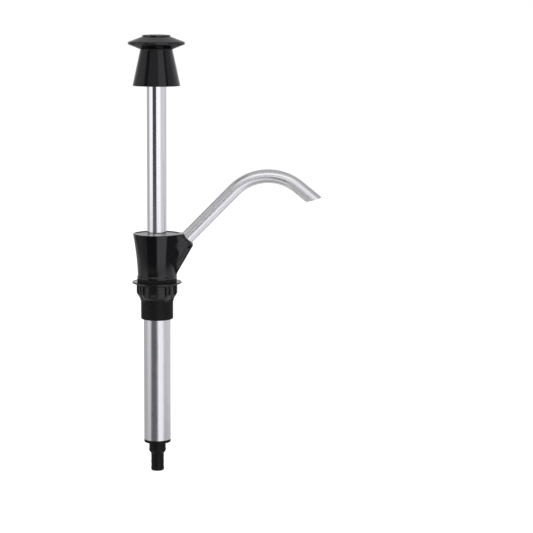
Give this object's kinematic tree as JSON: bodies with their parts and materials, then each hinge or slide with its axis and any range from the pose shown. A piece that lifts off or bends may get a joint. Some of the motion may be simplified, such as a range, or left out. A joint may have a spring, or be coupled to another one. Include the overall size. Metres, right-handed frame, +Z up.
{
  "type": "hand water pump",
  "caption": "Hand-operated galley water pump: a knob on a polished rod slides through a black head with a bent spout, clamped through a worktop above a slim barrel and hose tail.",
  "frame": {"origin": "on the rod's axis, in the plane where the head's gasket meets the worktop", "axes": "+Z up along the rod, +X towards the spout, -Y towards the picture's camera"},
  "size_m": [0.1629, 0.0476, 0.3718],
  "materials": {
    "gloss_black": "glossy moulded black",
    "satin_black": "satin moulded black",
    "white_plastic": "natural acetal",
    "rubber": "matt black",
    "polished_tube": "polished",
    "spout_tube": "polished",
    "barrel_tube": "satin polished",
    "steel": "stainless"
  },
  "bodies": {
    "pump_body": {"housing": "gloss_black", "guide_bush": "satin_black", "rod_seal": "rubber", "wiper_ring": "rubber", "spout": "spout_tube", "spout_o_ring": "rubber", "bench_gasket": "rubber", "barrel": "barrel_tube", "barrel_o_ring": "rubber", "hose_tail": "satin_black", "tail_o_ring": "rubber", "foot_cage": "white_plastic"},
    "seal_carrier": {"piston_seal": "rubber"},
    "plunger": {"knob": "gloss_black", "knob_cap": "gloss_black", "knob_screw": "steel", "rod_top_plug": "white_plastic", "piston_rod": "polished_tube", "rod_o_ring": "rubber", "piston": "white_plastic", "piston_pin": "steel", "piston_seat": "white_plastic"},
    "piston_valve": {"piston_ball": "steel"},
    "foot_valve": {"foot_ball": "steel"},
    "loose_washer": {"clamp_washer": "gloss_black"},
    "hand_nut": {"clamp_nut": "gloss_black"}
  },
  "joints": [
    {"name": "plunger_stroke", "type": "slide", "parent": "pump_body", "child": "seal_carrier", "axis": [0, 0, -1], "range_m": [0, 0.12]},
    {"name": "plunger_spin", "type": "hinge", "parent": "seal_carrier", "child": "plunger", "pos_m": [0, 0, 0], "axis": [0, 0, 1], "continuous": true},
    {"name": "piston_ball_lift", "type": "slide", "parent": "plunger", "child": "piston_valve", "axis": [0, 0, 1], "range_m": [0, 0.0022]},
    {"name": "foot_ball_lift", "type": "slide", "parent": "pump_body", "child": "foot_valve", "axis": [0, 0, 1], "range_m": [0, 0.003]},
    {"name": "washer_drop", "type": "slide", "parent": "pump_body", "child": "loose_washer", "axis": [0, 0, -1], "range_m": [0, 0.028]},
    {"name": "nut_spin", "type": "hinge", "parent": "loose_washer", "child": "hand_nut", "pos_m": [0, 0, 0], "axis": [0, 0, -1], "range_deg": [0, 5040]}
  ],
  "couplings": [
    {"joint": "washer_drop", "follows": "nut_spin", "m_per_rad": 0.00031831}
  ]
}
